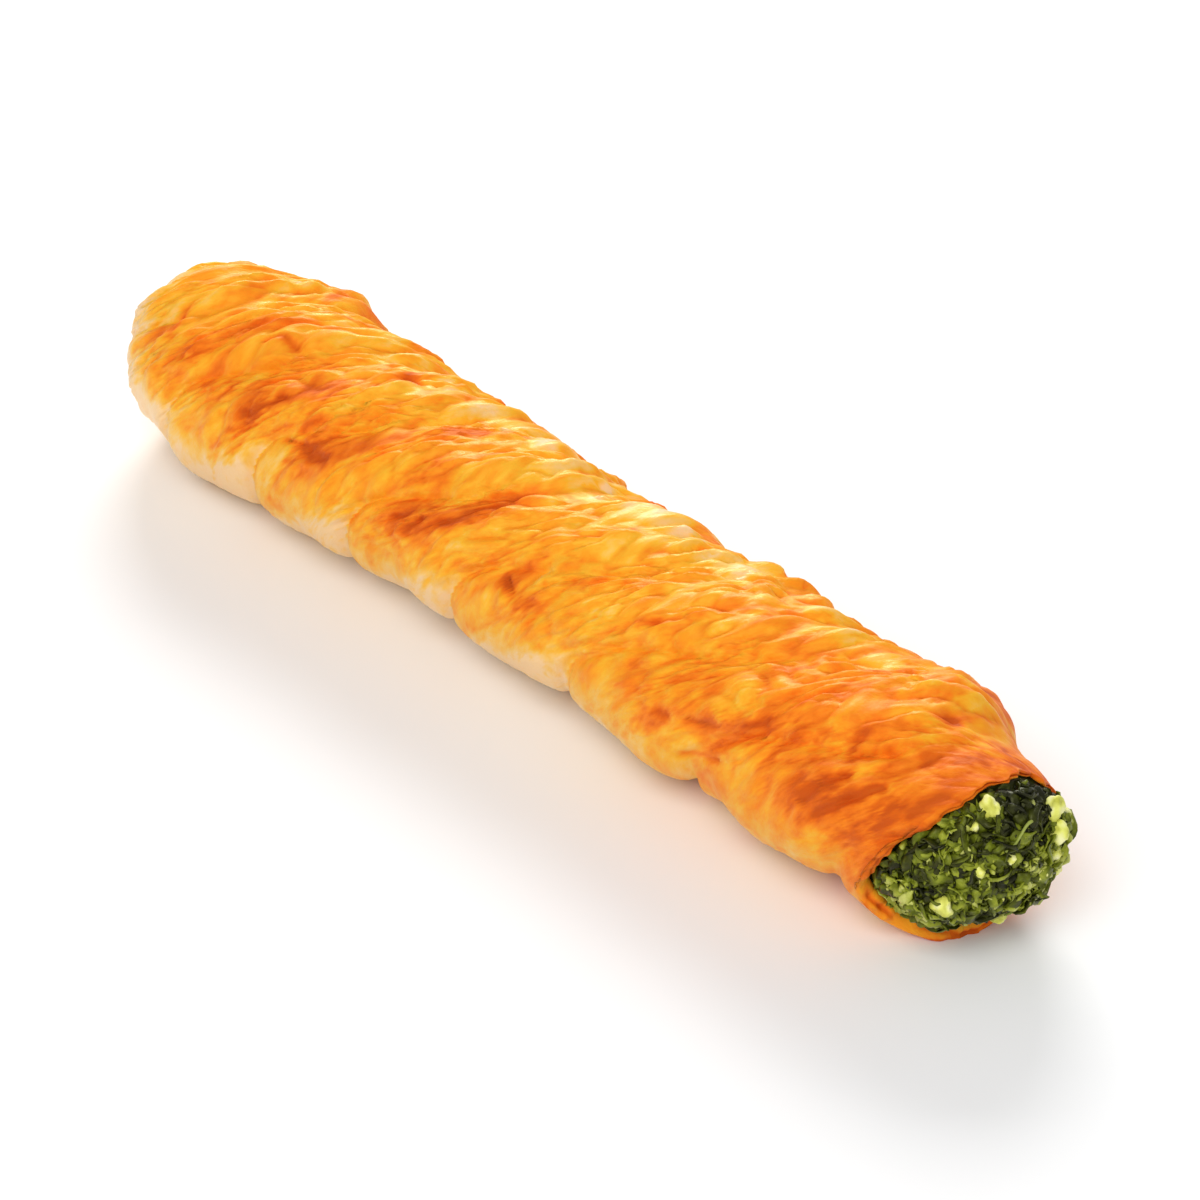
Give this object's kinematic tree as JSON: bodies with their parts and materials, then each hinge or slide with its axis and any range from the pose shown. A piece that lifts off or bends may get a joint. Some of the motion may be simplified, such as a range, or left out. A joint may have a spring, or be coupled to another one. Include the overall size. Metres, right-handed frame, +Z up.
{
  "type": "spinach and cheese borek",
  "caption": "Long roll of twisted, egg-washed and browned pastry, tucked shut at one end, with a filling of chopped spinach and crumbled cheese swelling out of the open end.",
  "frame": {"origin": "under the middle of the roll, on its flat underside", "axes": "+X along the roll towards the open end where the filling shows, +Z up, -Y the side that faces the viewer"},
  "size_m": [0.2518, 0.0484, 0.0422],
  "materials": {
    "crust": "baked thin dough, golden with brown streaks along its folds, pale low on its sides, egg-washed to an uneven gloss",
    "spinach": "cooked chopped spinach, dark to bright green with pale stems, moist",
    "cheese": "crumbled white cheese, pale yellow, soft and slightly moist"
  },
  "bodies": {
    "root": {"pastry": "crust", "filling": "spinach"}
  },
  "joints": []
}
